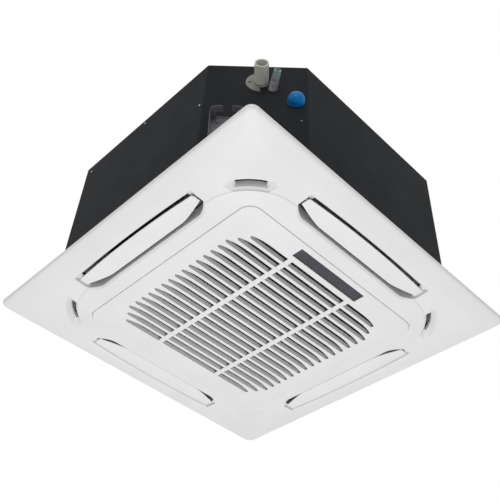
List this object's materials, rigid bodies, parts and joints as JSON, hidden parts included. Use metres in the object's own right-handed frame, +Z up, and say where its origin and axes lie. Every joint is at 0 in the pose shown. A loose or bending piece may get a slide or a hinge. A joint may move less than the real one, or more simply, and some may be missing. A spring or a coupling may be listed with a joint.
{
  "type": "ceiling cassette air conditioner",
  "caption": "Square ceiling cassette: octagonal steel body over a white panel with bowed air outlets, swinging louvres, corner outlets and a hinged intake grille.",
  "frame": {"origin": "centre of the ceiling plane, on which the panel's rim bears", "axes": "+Z up, from the room into the ceiling; the grille's hinge and display are on the -Y side, the pipe corner is between -X and -Y"},
  "size_m": [0.95, 0.95, 0.443],
  "materials": {
    "panel_white": "satin",
    "casing_steel": "satin",
    "bracket_steel": "satin",
    "galvanised_steel": "satin",
    "white_foam": "matte",
    "dark_foam": "matte",
    "fin_aluminium": "satin",
    "copper_pipe": "satin",
    "brass_nut": "satin",
    "motor_steel": "satin",
    "fan_plastic": "satin",
    "black_plastic": "satin",
    "grey_plastic": "satin",
    "display_plastic": "gloss",
    "drain_plastic": "satin",
    "clear_plastic": "gloss",
    "green_plastic": "satin",
    "blue_plastic": "satin",
    "circuit_board": "satin",
    "filter_net": "matte",
    "black_rubber": "matte"
  },
  "bodies": {
    "cassette": {"side_panel_front": "casing_steel", "side_panel_right": "casing_steel", "side_panel_back": "casing_steel", "side_panel_left": "casing_steel", "corner_panel_front_left": "casing_steel", "corner_panel_front_right": "casing_steel", "corner_panel_back_right": "casing_steel", "corner_panel_back_left": "casing_steel", "top_plate": "casing_steel", "cable_grommet": "black_rubber", "drain_hose": "black_rubber", "hanger_bracket_front_left": "bracket_steel", "hanger_bracket_front_right": "bracket_steel", "hanger_bracket_back_right": "bracket_steel", "hanger_bracket_back_left": "bracket_steel", "foam_liner": "white_foam", "top_insulation": "white_foam", "drain_pan": "white_foam", "panel_seal": "dark_foam", "evaporator_coil": "fin_aluminium", "coil_end_plate_front": "galvanised_steel", "coil_end_plate_left": "galvanised_steel", "motor_mount": "galvanised_steel", "control_box": "galvanised_steel", "control_box_cover": "galvanised_steel", "gas_header": "copper_pipe", "liquid_distributor": "copper_pipe", "gas_flare_nut": "brass_nut", "gas_pipe_cap": "blue_plastic", "liquid_pipe_cap": "blue_plastic", "drain_outlet_pipe": "drain_plastic", "vent_tube": "clear_plastic", "vent_tube_tip": "green_plastic", "drain_pump": "grey_plastic", "float_switch": "panel_white", "panel_frame": "panel_white", "latch_housing_left": "panel_white", "latch_housing_right": "panel_white", "fan_motor": "motor_steel", "bell_mouth": "black_plastic", "room_sensor": "black_plastic", "louver_motor_front": "black_plastic", "louver_motor_right": "black_plastic", "louver_motor_back": "black_plastic", "louver_motor_left": "black_plastic", "control_board": "circuit_board"},
    "fan": {"turbo_fan": "fan_plastic", "fan_shaft": "motor_steel", "fan_nut": "brass_nut"},
    "louver_front": {"louver_front": "panel_white"},
    "louver_right": {"louver_right": "panel_white"},
    "louver_back": {"louver_back": "panel_white"},
    "louver_left": {"louver_left": "panel_white"},
    "grille": {"intake_grille": "panel_white", "air_filter": "filter_net", "display_window": "display_plastic", "display_board": "circuit_board"},
    "latch_left": {"latch_plunger_left": "grey_plastic"},
    "latch_right": {"latch_plunger_right": "grey_plastic"}
  },
  "joints": [
    {"name": "fan_spin", "type": "hinge", "parent": "cassette", "child": "fan", "pos_m": [0, 0, 0.25], "axis": [0, 0, 1], "continuous": true},
    {"name": "louver_front_swing", "type": "hinge", "parent": "cassette", "child": "louver_front", "pos_m": [0, -0.384, -0.012], "axis": [1, 0, 0], "range_deg": [0, 65]},
    {"name": "louver_right_swing", "type": "hinge", "parent": "cassette", "child": "louver_right", "pos_m": [0.384, 0, -0.012], "axis": [0, 1, 0], "range_deg": [0, 65]},
    {"name": "louver_back_swing", "type": "hinge", "parent": "cassette", "child": "louver_back", "pos_m": [0, 0.384, -0.012], "axis": [-1, 0, 0], "range_deg": [0, 65]},
    {"name": "louver_left_swing", "type": "hinge", "parent": "cassette", "child": "louver_left", "pos_m": [-0.384, 0, -0.012], "axis": [0, -1, 0], "range_deg": [0, 65]},
    {"name": "grille_swing", "type": "hinge", "parent": "cassette", "child": "grille", "pos_m": [0, -0.303, -0.0386], "axis": [-1, 0, 0], "range_deg": [0, 80]},
    {"name": "latch_left_press", "type": "slide", "parent": "cassette", "child": "latch_left", "axis": [0, 0, 1], "range_m": [0, 0.004], "stiffness_N_per_m": 300},
    {"name": "latch_right_press", "type": "slide", "parent": "cassette", "child": "latch_right", "axis": [0, 0, 1], "range_m": [0, 0.004], "stiffness_N_per_m": 300}
  ]
}
